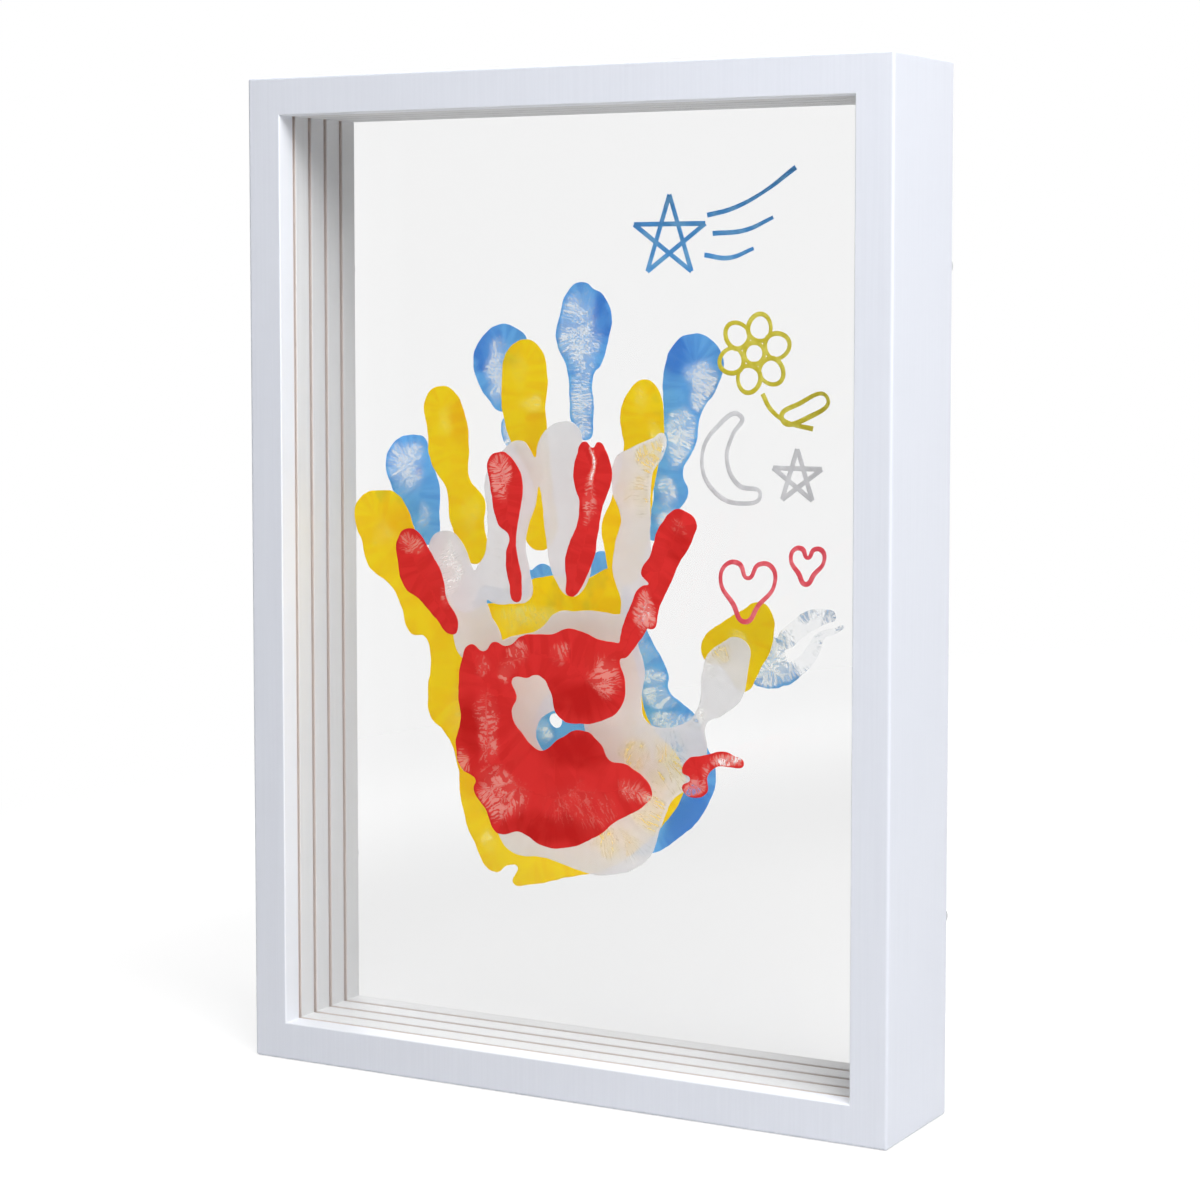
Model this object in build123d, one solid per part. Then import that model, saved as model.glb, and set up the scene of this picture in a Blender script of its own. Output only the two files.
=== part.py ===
from build123d import *
from collections import namedtuple
import os

# Deep white frame that holds four clear panes, each with one painted handprint.
# Lengths are in millimetres. X runs right, Y runs from front to back and Z runs up.
# The origin is under the middle of the frame, on the surface that it stands on.

# Moulding: one L section all round, a front lip and a wall beside the rabbet.
FRAME_WIDTH = 240.0
FRAME_HEIGHT = 340.0
WALL_THICKNESS = 7.0
RABBET_WIDTH = 6.0
LIP_DEPTH = 8.0
EDGE_RADIUS = 1.0
LIP_EDGE_RADIUS = 0.5

# Stack in the rabbet, from the front: pane, spacer ring, pane and so on, ending in the back ring.
PANE_COUNT = 4
PANE_THICKNESS = 2.0
PANE_CLEARANCE = 0.5
PANE_EDGE_CHAMFER = 0.3
SPACER_DEPTH = 8.0
SPACER_CLEARANCE = 0.25
SPACER_EDGE_RADIUS = 0.6

# Turn buttons and their screws, two on each side of the back.
BUTTON_FROM_CORNER = 65.0
BUTTON_REACH = 8.8
BUTTON_ROOT_RADIUS = 3.2
BUTTON_TIP_RADIUS = 2.3
BUTTON_THICKNESS = 1.0
BUTTON_PLAY = 0.05
SCREW_SHANK_RADIUS = 1.1
SCREW_HEAD_RADIUS = 2.4
SCREW_HEAD_HEIGHT = 1.5
SCREW_HEAD_SLOPE = 0.7
SCREW_GRIP = 9.0
SCREW_POINT = 2.5
SCREW_RUNNING_CLEARANCE = 0.08
PILOT_CLEARANCE = 0.02
CROSS_LENGTH = 2.6
CROSS_WIDTH = 0.6
CROSS_DEPTH = 0.9

# Sawtooth hanger at the middle of the top rail's back, and its two nails.
HANGER_LENGTH = 44.0
HANGER_HEIGHT = 5.4
HANGER_THICKNESS = 0.8
HANGER_FROM_TOP = 1.2
HANGER_BRIDGE_LENGTH = 24.0
HANGER_BRIDGE_RISE = 1.6
HANGER_RAMP = 3.0
HANGER_END_RADIUS = 1.5
TOOTH_PITCH = 2.4
TOOTH_DEPTH = 1.3
NAIL_FROM_END = 3.4
NAIL_RADIUS = 0.65
NAIL_HEAD_RADIUS = 1.5
NAIL_HEAD_HEIGHT = 0.5
NAIL_GRIP = 9.0
NAIL_HOLE_CLEARANCE = 0.1

# V-nails across the mitres, driven in from the back and sunk a little.
V_NAIL_FROM_CORNER = 6.4
V_NAIL_LEG_RUN = 2.2
V_NAIL_LEG_SPREAD = 1.8
V_NAIL_THICKNESS = 0.6
V_NAIL_LENGTH = 7.0
V_NAIL_SINK = 0.3

# Paint films, placed from the middle of a pane: x to the right, then z upwards.
PAINT_THICKNESS = 0.3
RED_HAND_LENGTH = 134.0
WHITE_HAND_LENGTH = 150.0
YELLOW_HAND_LENGTH = 185.0
BLUE_HAND_LENGTH = 199.0
# A dab is drawn round three circles: its pad at the tip, its waist and its root.
WAIST_PLACE = 0.55
ROOT_SHARE = 0.6
# A palm is drawn by its corners, each rounded by an arc that takes this share of the shorter side beside it.
CORNER_SHARE = 0.48
Dab = namedtuple("Dab", "tip root pad waist")
Hand = namedtuple("Hand", "pane length dabs palm hollow")

HANDS = {
    "red": Hand(
        pane=1,
        length=RED_HAND_LENGTH,
        dabs=[
            Dab(tip=(-61, 13), root=(-42, -20), pad=12, waist=7),
            Dab(tip=(-23, 41), root=(-17, -7), pad=13, waist=7),
            Dab(tip=(10, 46), root=(3, -6), pad=14, waist=9),
            Dab(tip=(45, 25), root=(22, -24), pad=14, waist=8),
            Dab(tip=(64, -54), root=(44, -65), pad=10, waist=6),
        ],
        palm=[
            (-37, -27), (-9, -18), (21, -21), (25, -36), (10, -47), (-11, -35), (-19, -43),
            (-9, -55), (9, -50), (32, -69), (18, -82), (-6, -88), (-32, -79), (-41, -59), (-41, -42),
        ],
        hollow=None,
    ),
    "white": Hand(
        pane=2,
        length=WHITE_HAND_LENGTH,
        dabs=[
            Dab(tip=(-52, 15), root=(-34, -24), pad=14, waist=11),
            Dab(tip=(-23, 45), root=(-22, -7), pad=18, waist=14),
            Dab(tip=(-6, 52), root=(-3, -6), pad=19, waist=14),
            Dab(tip=(24, 45), root=(24, -9), pad=19, waist=16),
            Dab(tip=(63, -15), root=(40, -58), pad=19, waist=12),
        ],
        palm=[
            (-38, -26), (-12, -14), (14, -15), (28, -28), (33, -48), (45, -58), (40, -78), (26, -92),
            (6, -98), (-22, -88), (-36, -62),
        ],
        hollow=[(-4, -40), (4, -50), (-3, -59), (-10, -50)],
    ),
    "yellow": Hand(
        pane=3,
        length=YELLOW_HAND_LENGTH,
        dabs=[
            Dab(tip=(-87, 26), root=(-60, -32), pad=20, waist=18),
            Dab(tip=(-61, 63), root=(-41, 2), pad=16, waist=14),
            Dab(tip=(-26, 78), root=(-17, 8), pad=18, waist=14),
            Dab(tip=(21, 66), root=(10, 3), pad=15, waist=12),
            Dab(tip=(66, -9), root=(46, -44), pad=21, waist=15),
        ],
        palm=[
            (-62, -26), (-38, -8), (-12, -1), (14, -3), (27, -14), (22, -34), (24, -60), (18, -88),
            (-2, -100), (-27, -107), (-42, -92), (-50, -66), (-63, -48),
        ],
        hollow=[(-8, -30), (7, -46), (-4, -66), (-20, -60), (-26, -42)],
    ),
    "blue": Hand(
        pane=4,
        length=BLUE_HAND_LENGTH,
        dabs=[
            Dab(tip=(-79, 45), root=(-64, -4), pad=20, waist=14),
            Dab(tip=(-41, 84), root=(-28, 16), pad=21, waist=14),
            Dab(tip=(-7, 98), root=(-8, 24), pad=20, waist=11),
            Dab(tip=(38, 82), root=(19, 6), pad=21, waist=15),
            Dab(tip=(89, -11), root=(50, -41), pad=16, waist=13),
        ],
        palm=[
            (-50, -14), (-24, 0), (6, 6), (18, -8), (22, -26), (35, -44), (34, -60), (41, -72), (31, -88),
            (10, -100), (-22, -96), (-42, -72), (-54, -42),
        ],
        hollow=[(-4, -30), (10, -48), (0, -66), (-16, -58), (-20, -40)],
    ),
}

# Sizes that follow from the ones above.
FACE_WIDTH = WALL_THICKNESS + RABBET_WIDTH
STACK_STEP = PANE_THICKNESS + SPACER_DEPTH
FRAME_DEPTH = LIP_DEPTH + PANE_COUNT * STACK_STEP
FRONT = -FRAME_DEPTH / 2
BACK = FRAME_DEPTH / 2
MIDDLE_HEIGHT = FRAME_HEIGHT / 2
HALF_WIDTH = FRAME_WIDTH / 2
HALF_HEIGHT = FRAME_HEIGHT / 2
BUTTON_BACK = BACK + BUTTON_PLAY + BUTTON_THICKNESS
TOOTH_COUNT = int(HANGER_BRIDGE_LENGTH / TOOTH_PITCH) - 1


def upright(y):
    """Work plane seen from the front, at depth y and centred on the frame."""
    return Plane(origin=(0, y, MIDDLE_HEIGHT), x_dir=(1, 0, 0), z_dir=(0, -1, 0))


def slab(sketch, back, depth):
    """Solid of an upright sketch, from depth `back` forwards."""
    return extrude(upright(back) * sketch, amount=depth)


def inset_rectangle(inset):
    """Rectangle as large as the frame's outline less `inset` on each side."""
    return Rectangle(FRAME_WIDTH - 2 * inset, FRAME_HEIGHT - 2 * inset)


def pane_front(number):
    """Depth of the front face of a pane, counted from 1 at the front."""
    return FRONT + LIP_DEPTH + (number - 1) * STACK_STEP


def front_and_back(solid):
    """The two faces of a solid that look forwards and backwards."""
    faces = solid.faces().sort_by(Axis.Y)
    return faces[0], faces[-1]


def mitre_wedge(side):
    """Everything between the two mitres that end one side of the frame."""
    top = [
        (-HALF_WIDTH, HALF_HEIGHT),
        (HALF_WIDTH, HALF_HEIGHT),
        (HALF_WIDTH - FACE_WIDTH, HALF_HEIGHT - FACE_WIDTH),
        (FACE_WIDTH - HALF_WIDTH, HALF_HEIGHT - FACE_WIDTH),
    ]
    right = [
        (HALF_WIDTH, HALF_HEIGHT),
        (HALF_WIDTH, -HALF_HEIGHT),
        (HALF_WIDTH - FACE_WIDTH, FACE_WIDTH - HALF_HEIGHT),
        (HALF_WIDTH - FACE_WIDTH, HALF_HEIGHT - FACE_WIDTH),
    ]
    outlines = {
        "top": top,
        "bottom": [(x, -z) for x, z in top],
        "right": right,
        "left": [(-x, z) for x, z in right],
    }
    return slab(make_face(Polyline(*outlines[side], close=True)), BACK, FRAME_DEPTH)


def moulding_ring():
    """The whole moulding, before it is cut at its mitres."""
    ring = slab(inset_rectangle(0), BACK, FRAME_DEPTH)
    ring = fillet(ring.edges(), EDGE_RADIUS)
    ring -= slab(inset_rectangle(FACE_WIDTH), BACK, FRAME_DEPTH)
    ring -= slab(inset_rectangle(WALL_THICKNESS), BACK, FRAME_DEPTH - LIP_DEPTH)
    front, back = front_and_back(ring)
    return fillet(front.inner_wires()[0].edges(), LIP_EDGE_RADIUS)


def strip_ring(back):
    """Ring of strips that fills the rabbet, its inner edge flush with the lip's."""
    ring = slab(inset_rectangle(WALL_THICKNESS + SPACER_CLEARANCE), back, SPACER_DEPTH)
    ring -= slab(inset_rectangle(FACE_WIDTH), back, SPACER_DEPTH)
    front, back_face = front_and_back(ring)
    inner_edges = front.inner_wires()[0].edges() + back_face.inner_wires()[0].edges()
    return fillet(inner_edges, SPACER_EDGE_RADIUS)


def pane(number):
    """Clear sheet with its edges broken."""
    back = pane_front(number) + PANE_THICKNESS
    sheet = slab(inset_rectangle(WALL_THICKNESS + PANE_CLEARANCE), back, PANE_THICKNESS)
    return chamfer(sheet.edges(), PANE_EDGE_CHAMFER)


def button_places():
    """Pivot of each turn button on the back, and the turn that points it inwards."""
    side_x = HALF_WIDTH - WALL_THICKNESS / 2
    side_z = HALF_HEIGHT - WALL_THICKNESS / 2
    along_x = HALF_WIDTH - BUTTON_FROM_CORNER
    along_z = HALF_HEIGHT - BUTTON_FROM_CORNER
    return {
        "top_left": (-along_x, side_z, 180),
        "top_right": (along_x, side_z, 180),
        "bottom_left": (-along_x, -side_z, 0),
        "bottom_right": (along_x, -side_z, 0),
        "left_upper": (-side_x, along_z, -90),
        "left_lower": (-side_x, -along_z, -90),
        "right_upper": (side_x, along_z, 90),
        "right_lower": (side_x, -along_z, 90),
    }


def turn_button(x, z, turn):
    """Pear-shaped plate, broad at its screw, that laps over the back ring."""
    tip_centre = BUTTON_REACH - BUTTON_TIP_RADIUS
    rounds = Circle(BUTTON_ROOT_RADIUS).edges() + (Pos(0, tip_centre) * Circle(BUTTON_TIP_RADIUS)).edges()
    outline = make_hull(rounds) - Circle(SCREW_SHANK_RADIUS + SCREW_RUNNING_CLEARANCE)
    return slab(Pos(x, z) * Rot(0, 0, turn) * outline, BUTTON_BACK, BUTTON_THICKNESS)


def button_screw(x, z):
    """Wood screw with a sloping head and a cross recess, its head just clear of the button."""
    seat = BUTTON_BACK + BUTTON_PLAY
    crown = seat + SCREW_HEAD_HEIGHT
    tip = BACK - SCREW_GRIP
    profile = Polyline(
        (0, tip),
        (SCREW_SHANK_RADIUS, tip + SCREW_POINT),
        (SCREW_SHANK_RADIUS, seat),
        (SCREW_HEAD_RADIUS, seat),
        (SCREW_HEAD_RADIUS - SCREW_HEAD_SLOPE, crown),
        (0, crown),
        close=True,
    )
    screw = revolve(make_face(profile), Axis.Y)
    slot = Rectangle(CROSS_LENGTH, CROSS_WIDTH) + Rectangle(CROSS_WIDTH, CROSS_LENGTH)
    screw = Pos(x, 0, MIDDLE_HEIGHT + z) * screw
    return screw - slab(Pos(x, z) * slot, crown, CROSS_DEPTH)


def pilot_hole(x, z):
    """Hole in the moulding's wall that a button screw bites into."""
    return slab(Pos(x, z) * Circle(SCREW_SHANK_RADIUS + PILOT_CLEARANCE), BACK, SCREW_GRIP)


def corner_places():
    """The frame's corners, and the turn that points from each to the middle."""
    return [
        (HALF_WIDTH, HALF_HEIGHT, 225),
        (-HALF_WIDTH, HALF_HEIGHT, 315),
        (-HALF_WIDTH, -HALF_HEIGHT, 45),
        (HALF_WIDTH, -HALF_HEIGHT, 135),
    ]


def v_outline(x, z, turn):
    """Chevron across a mitre, its point towards the middle of the frame."""
    point = V_NAIL_FROM_CORNER
    end = V_NAIL_FROM_CORNER - V_NAIL_LEG_RUN
    chevron = Polyline(
        (point, 0),
        (end, V_NAIL_LEG_SPREAD),
        (end - V_NAIL_THICKNESS, V_NAIL_LEG_SPREAD),
        (point - V_NAIL_THICKNESS, 0),
        (end - V_NAIL_THICKNESS, -V_NAIL_LEG_SPREAD),
        (end, -V_NAIL_LEG_SPREAD),
        close=True,
    )
    return Pos(x, z) * Rot(0, 0, turn) * make_face(chevron)


def hanger_nail_places():
    """Nails near both ends of the hanger, at the middle of its height."""
    x = HANGER_LENGTH / 2 - NAIL_FROM_END
    z = HALF_HEIGHT - HANGER_FROM_TOP - HANGER_HEIGHT / 2
    return [(-x, z), (x, z)]


def sawtooth_hanger():
    """Pressed strip with a raised bridge, whose lower edge is toothed for the wall nail."""
    end = HANGER_LENGTH / 2
    bridge = HANGER_BRIDGE_LENGTH / 2
    foot = bridge + HANGER_RAMP
    rise = HANGER_BRIDGE_RISE
    wall_side = [(-end, 0), (-foot, 0), (-bridge, rise), (bridge, rise), (foot, 0), (end, 0)]
    room_side = [(x, y + HANGER_THICKNESS) for x, y in reversed(wall_side)]
    bottom = FRAME_HEIGHT - HANGER_FROM_TOP - HANGER_HEIGHT
    profile = make_face(Polyline(*wall_side, *room_side, close=True))
    strip = extrude(Pos(0, BACK, bottom) * profile, amount=HANGER_HEIGHT)
    upright_corners = strip.edges().filter_by(Axis.Y).group_by(Axis.X)
    strip = fillet(upright_corners[0] + upright_corners[-1], HANGER_END_RADIUS)
    notch = make_face(Polyline((-TOOTH_PITCH / 2, 0), (0, TOOTH_DEPTH), (TOOTH_PITCH / 2, 0), close=True))
    teeth = [Pos(x, bottom - MIDDLE_HEIGHT) * notch for x in tooth_places()]
    bridge_back = BACK + rise + HANGER_THICKNESS
    for tooth in teeth:
        strip -= slab(tooth, bridge_back, HANGER_THICKNESS)
    for x, z in hanger_nail_places():
        strip -= slab(Pos(x, z) * Circle(NAIL_RADIUS + NAIL_HOLE_CLEARANCE), bridge_back, FRAME_DEPTH)
    return strip


def tooth_places():
    """Middles of the notches along the hanger's bridge."""
    first = -(TOOTH_COUNT - 1) / 2 * TOOTH_PITCH
    return [first + number * TOOTH_PITCH for number in range(TOOTH_COUNT)]


def hanger_nail(x, z):
    """Flat-headed pin that holds one end of the hanger."""
    seat = BACK + HANGER_THICKNESS
    shank = slab(Pos(x, z) * Circle(NAIL_RADIUS), seat, NAIL_GRIP + HANGER_THICKNESS)
    head = slab(Pos(x, z) * Circle(NAIL_HEAD_RADIUS), seat + NAIL_HEAD_HEIGHT, NAIL_HEAD_HEIGHT)
    return shank + head


def nail_hole(x, z):
    """Hole in the top rail around one hanger nail."""
    return slab(Pos(x, z) * Circle(NAIL_RADIUS + PILOT_CLEARANCE), BACK, NAIL_GRIP)


def dab_outline(dab):
    """Mark of one finger: a broad pad at the tip, a waist and a narrower root."""
    tip = Vector(*dab.tip)
    root = Vector(*dab.root)
    along = (root - tip).normalized()
    pad = dab.pad / 2
    waist = dab.waist / 2
    root_radius = waist * ROOT_SHARE
    pad_round = Pos(tip + along * pad) * Circle(pad)
    waist_round = Pos(tip + (root - tip) * WAIST_PLACE) * Circle(waist)
    root_round = Pos(root - along * root_radius) * Circle(root_radius)
    finger = make_hull(pad_round.edges() + waist_round.edges())
    return finger + make_hull(waist_round.edges() + root_round.edges())


def rounded_outline(corners):
    """Closed outline of arcs, one at each corner, with short straight sides between them."""
    points = [Vector(*corner) for corner in corners]
    arcs = []
    for before, corner, after in zip(points[-1:] + points[:-1], points, points[1:] + points[:1]):
        reach = CORNER_SHARE * min((before - corner).length, (after - corner).length)
        start = corner + (before - corner).normalized() * reach
        end = corner + (after - corner).normalized() * reach
        arcs.append(TangentArc(start, end, tangent=corner - start))
    sides = [Line(arc @ 1, following @ 0) for arc, following in zip(arcs, arcs[1:] + arcs[:1])]
    return make_face(arcs + sides)


def handprint(hand):
    """Paint film of one hand, drawn about the middle of its pane and brought to its real length."""
    outline = rounded_outline(hand.palm)
    if hand.hollow:
        outline -= rounded_outline(hand.hollow)
    for dab in hand.dabs:
        outline += dab_outline(dab)
    drawn_length = outline.bounding_box().size.Y
    outline = scale(outline, by=hand.length / drawn_length)
    return slab(outline, pane_front(hand.pane), PAINT_THICKNESS)


def moulding_lengths():
    """The four mitred lengths, with the holes that their fasteners need."""
    ring = moulding_ring()
    for x, z, turn in button_places().values():
        ring -= pilot_hole(x, z)
    for x, z, turn in corner_places():
        ring -= slab(v_outline(x, z, turn), BACK, V_NAIL_SINK + V_NAIL_LENGTH)
    for x, z in hanger_nail_places():
        ring -= nail_hole(x, z)
    names = {"top": "top_rail", "bottom": "bottom_rail", "left": "left_stile", "right": "right_stile"}
    return {name: ring & mitre_wedge(side) for side, name in names.items()}


def strip_lengths():
    """Mitred strips of the spacer rings and of the ring behind the last pane."""
    strips = {}
    for number in range(1, PANE_COUNT + 1):
        ring = strip_ring(pane_front(number) + STACK_STEP)
        ring_name = "back_ring" if number == PANE_COUNT else f"spacer_{number}"
        for side in ("top", "bottom", "left", "right"):
            strips[f"{ring_name}_{side}"] = ring & mitre_wedge(side)
    return strips


def all_pieces():
    """Every piece of the frame under its name."""
    pieces = moulding_lengths()
    pieces.update({f"pane_{number}": pane(number) for number in range(1, PANE_COUNT + 1)})
    pieces.update(strip_lengths())
    for colour, hand in HANDS.items():
        pieces[f"handprint_{colour}"] = handprint(hand)
    places = button_places()
    for place, (x, z, turn) in places.items():
        pieces[f"turn_button_{place}"] = turn_button(x, z, turn)
    pieces["turn_button_screws"] = Compound(children=[button_screw(x, z) for x, z, turn in places.values()])
    v_nail_back = BACK - V_NAIL_SINK
    pieces["corner_v_nails"] = Compound(
        children=[slab(v_outline(x, z, turn), v_nail_back, V_NAIL_LENGTH) for x, z, turn in corner_places()]
    )
    pieces["sawtooth_hanger"] = sawtooth_hanger()
    pieces["hanger_nails"] = Compound(children=[hanger_nail(x, z) for x, z in hanger_nail_places()])
    return pieces


os.makedirs("parts", exist_ok=True)
for name, piece in all_pieces().items():
    export_step(piece, f"parts/{name}.step")
    print(name, round(piece.volume, 1), "mm3")
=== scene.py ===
# %% [markdown]
# # Four handprints in a deep frame
#
# The real object is a deep white frame with four clear sheets standing one behind the other. Each sheet
# carries the print of one painted hand and a small pen drawing. The imported CAD model already gives every
# rigid piece its size and place, so this lesson adds what CAD leaves out: the finishes, the soft-edged
# films of paint, the pen strokes and the light.

# %% Load the frame
import math

import bpy
import numpy as np
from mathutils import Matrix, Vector, noise
from mathutils.bvhtree import BVHTree
from mathutils.kdtree import KDTree


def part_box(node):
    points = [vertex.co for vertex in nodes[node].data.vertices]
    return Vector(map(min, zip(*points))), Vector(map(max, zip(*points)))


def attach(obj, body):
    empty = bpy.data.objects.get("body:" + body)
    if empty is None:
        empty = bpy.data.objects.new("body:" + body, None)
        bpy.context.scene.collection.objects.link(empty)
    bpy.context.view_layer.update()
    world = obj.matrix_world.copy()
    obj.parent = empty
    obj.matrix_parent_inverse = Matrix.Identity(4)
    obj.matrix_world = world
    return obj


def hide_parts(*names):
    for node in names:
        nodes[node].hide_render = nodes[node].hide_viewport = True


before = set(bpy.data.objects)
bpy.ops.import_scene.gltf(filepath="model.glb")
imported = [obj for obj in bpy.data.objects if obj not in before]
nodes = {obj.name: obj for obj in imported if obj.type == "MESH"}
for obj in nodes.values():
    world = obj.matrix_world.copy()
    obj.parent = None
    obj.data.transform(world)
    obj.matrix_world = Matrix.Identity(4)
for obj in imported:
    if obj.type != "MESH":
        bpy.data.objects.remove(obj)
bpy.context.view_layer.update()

# %% [markdown]
# ## The camera
#
# The photograph was taken with a longish lens from the right of the frame, a little above its middle. A
# camera could be aimed by eye, but here its place, turn and lens were worked out from the frame's corners
# in the picture. The small downward shift does what a raised lens board does: the upright edges stay
# almost parallel.

# %% Place the camera
CAMERA_PLACE = (0.4711, -0.8431, 0.2647)
CAMERA_TURN = 28.949
CAMERA_TILT = 4.048
CAMERA_LENS = 87.11
CAMERA_SENSOR = 36
CAMERA_SHIFT = -0.08

bpy.ops.object.select_all(action="DESELECT")
bpy.ops.object.camera_add(
    location=CAMERA_PLACE,
    rotation=(math.radians(90 - CAMERA_TILT), 0, math.radians(CAMERA_TURN)),
)
camera = bpy.context.object
camera.data.lens = CAMERA_LENS
camera.data.sensor_width = CAMERA_SENSOR
camera.data.shift_y = CAMERA_SHIFT
bpy.context.scene.camera = camera
print("camera at", CAMERA_PLACE, "with a", CAMERA_LENS, "mm lens")

# %% [markdown]
# ## A short way to write materials
#
# A node material is a graph: nodes, and links between their sockets. Written out in full, every node
# takes five lines. The first two helpers below add one node and set or link each input they are given, so
# a material reads like a recipe. The others cover the steps that come back all the time: arithmetic, a
# ramp from one range to another, a mix of two numbers or two colours, soft noise, and the relief that
# noise can give a surface.

# %% Helpers for nodes
def plug_in(tree, node, plugs):
    """Sets a node's inputs, or links them to other nodes."""
    for name, value in plugs.items():
        if isinstance(value, bpy.types.NodeSocket):
            tree.links.new(value, node.inputs[name])
        else:
            node.inputs[name].default_value = value


def add(tree, kind, plugs=None, **settings):
    """Adds a shader node, gives it its settings and plugs in its inputs."""
    made = tree.nodes.new("ShaderNode" + kind)
    for name, value in settings.items():
        setattr(made, name, value)
    plug_in(tree, made, plugs or {})
    return made


def sum_up(tree, operation, first, second=0.0):
    """One step of arithmetic on two numbers."""
    return add(tree, "Math", {0: first, 1: second}, operation=operation).outputs[0]


def ramp(tree, value, start, end, low=0.0, high=1.0):
    """Goes smoothly from low to high while value goes from start to end."""
    plugs = {"Value": value, "From Min": start, "From Max": end, "To Min": low, "To Max": high}
    return add(tree, "MapRange", plugs, interpolation_type="SMOOTHSTEP").outputs["Result"]


def between(tree, amount, first, second):
    """A number between two others."""
    return add(tree, "Mix", {0: amount, 2: first, 3: second}).outputs[0]


def mix(tree, amount, first, second):
    """A colour between two others."""
    return add(tree, "Mix", {0: amount, 6: first, 7: second}, data_type="RGBA").outputs[2]


def split(tree, vector):
    """The X, Y and Z of a vector."""
    return add(tree, "SeparateXYZ", {0: vector}).outputs


# %% Helpers for finishes
NOISE_LOW = 0.3
NOISE_HIGH = 0.7


def grey(level):
    """A colour without any hue."""
    return level, level, level, 1


def new_material(name):
    """An empty material, with its node tree, its shader and its Object coordinates."""
    material = bpy.data.materials.new(name)
    material.use_nodes = True
    tree = material.node_tree
    place = add(tree, "TexCoord").outputs["Object"]
    return material, tree, tree.nodes["Principled BSDF"], place


def stretched(tree, place, sizes):
    """Coordinates multiplied along X, Y and Z, to draw a pattern out into lines."""
    return add(tree, "Mapping", {"Vector": place, "Scale": sizes}).outputs["Vector"]


def soft_noise(tree, place, scale, detail):
    """Cloudy noise, mostly between NOISE_LOW and NOISE_HIGH."""
    return add(tree, "TexNoise", {"Vector": place, "Scale": scale, "Detail": detail}).outputs["Fac"]


def relief(tree, height, strength, distance):
    """The normal of a surface with a fine relief on it."""
    plugs = {"Height": height, "Strength": strength, "Distance": distance}
    return add(tree, "Bump", plugs).outputs["Normal"]


def dress(material, *names):
    """Gives CAD nodes one material."""
    for name in names:
        nodes[name].data.materials.clear()
        nodes[name].data.materials.append(material)
    print(material.name, "on", len(names), "CAD nodes")


# %% [markdown]
# ## Floor and light
#
# The picture is a studio shot: white behind and below, a big soft lamp to the right of the frame and in
# front of it, and a dimmer room behind the camera. A white backdrop could be lit until it clips, but that
# would flood the object. Instead the world and the floor show white only to the camera and through the
# sheets, and light the object at a lower level. What the sheets mirror is the room: white behind the
# frame, dim in front of it, because a white mirror image over every sheet would wash out the prints. The
# shaders also ask how often a ray was scattered, so that light from a wall never meets the bright white
# after it passes a sheet.

# %% Rays that the camera sees
DIM_ROOM = 0.10
HALF_A_BOUNCE = 0.5


def sight(tree):
    """Whether the camera sees along this ray, straight or by way of a sheet, and whether in a mirror."""
    path = add(tree, "LightPath").outputs
    seen = sum_up(tree, "MAXIMUM", path["Is Camera Ray"], path["Is Transmission Ray"])
    seen = sum_up(tree, "MAXIMUM", seen, path["Is Glossy Ray"])
    unscattered = sum_up(tree, "LESS_THAN", path["Diffuse Depth"], HALF_A_BOUNCE)
    mirrored = sum_up(tree, "GREATER_THAN", path["Glossy Depth"], HALF_A_BOUNCE)
    return sum_up(tree, "MULTIPLY", seen, unscattered), mirrored


def shown_level(tree, room, ambient):
    """How bright white shows: 1 where it is seen, room in a mirror, and ambient to everything else."""
    seen, mirrored = sight(tree)
    return between(tree, seen, ambient, between(tree, mirrored, 1.0, room))


# %% White world
FRONT_AMBIENT = 0.06
BACK_AMBIENT = 0.16
ROOM_TURNS = (-0.25, 0.15)
AMBIENT_TURNS = (-0.35, 0.35)

world = bpy.data.worlds.new("white_studio")
world.use_nodes = True
bpy.context.scene.world = world
sky = world.node_tree
ahead = split(sky, add(sky, "TexCoord").outputs["Generated"])["Y"]
room = ramp(sky, ahead, *ROOM_TURNS, DIM_ROOM, 1.0)
ambient = ramp(sky, ahead, *AMBIENT_TURNS, FRONT_AMBIENT, BACK_AMBIENT)
strength = shown_level(sky, room, ambient)
plug_in(sky, sky.nodes["Background"], {"Color": grey(1.0), "Strength": strength})
print("world", world.name)

# %% [markdown]
# The floor keeps the frame's soft shadow, so near the frame it is partly lit and only partly glowing.
# Further off it glows fully and turns into the white of the world. Seen through the sheets, the floor
# close behind the frame is a little greyer, as in the picture.

# %% White floor
FLOOR_SIZE = 30
FLOOR_HEIGHT = -0.0002
FLOOR_SPREAD = (2.2, 0.8, 1)
NEAR_FLOOR = 0.3
FAR_FLOOR = 1.2
FLOOR_ROOM = (-0.4, 0.1)
NEAR_GLOW = 0.74
FULL_GLOW_FROM = 0.75
THROUGH_SHEETS = 0.84

bpy.ops.object.select_all(action="DESELECT")
bpy.ops.mesh.primitive_plane_add(size=FLOOR_SIZE, location=(0, 0, FLOOR_HEIGHT))
floor = bpy.context.object
floor.name = "floor"
ground, tree, shader, place = new_material("white_floor")
bouncing = mix(tree, soft_noise(tree, place, scale=40.0, detail=3.0), grey(0.72), grey(0.76))
spread = stretched(tree, place, FLOOR_SPREAD)
reach = add(tree, "VectorMath", {0: spread}, operation="LENGTH").outputs["Value"]
far_off = ramp(tree, reach, NEAR_FLOOR, FAR_FLOOR)
shown = mix(tree, far_off, grey(0.32), grey(0.0))
room = ramp(tree, split(tree, place)["Y"], *FLOOR_ROOM, DIM_ROOM, 1.0)
glow = ramp(tree, far_off, 0.0, FULL_GLOW_FROM, NEAR_GLOW, 1.0)
glow = sum_up(tree, "MULTIPLY", shown_level(tree, room, 0.0), glow)
crossed = add(tree, "LightPath").outputs["Transmission Depth"]
through = sum_up(tree, "GREATER_THAN", crossed, HALF_A_BOUNCE)
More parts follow.
